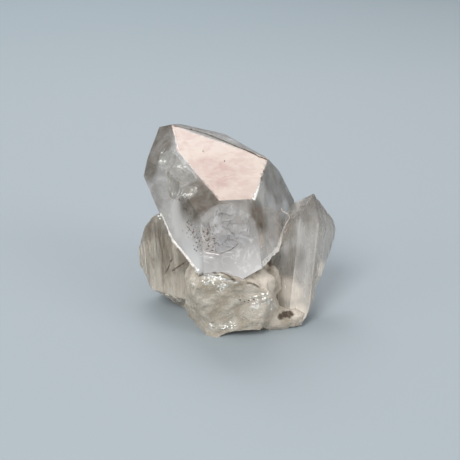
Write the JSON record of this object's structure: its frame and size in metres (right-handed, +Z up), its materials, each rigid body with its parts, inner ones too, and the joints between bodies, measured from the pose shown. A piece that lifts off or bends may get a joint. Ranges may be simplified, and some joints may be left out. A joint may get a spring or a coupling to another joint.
{
  "type": "quartz crystal cluster",
  "caption": "Small intergrown group of clear, slightly smoky quartz: a large leaning crystal, a pointed one and a stubby one on a rough broken root, free-standing.",
  "frame": {"origin": "middle of the group's bounding box, on the surface that it stands on", "axes": "+Z up; -Y towards the viewer of the picture, so the big crystal leans back towards +Y; +X to the right, where the pointed crystal is"},
  "size_m": [0.0572, 0.0544, 0.0471],
  "materials": {
    "clear_quartz": "clear, slightly smoky and milky inside; glossy growth faces, bright chipped edges, frosted patches and a sandy broken root"
  },
  "bodies": {
    "root": {"quartz_cluster": "clear_quartz"}
  },
  "joints": []
}
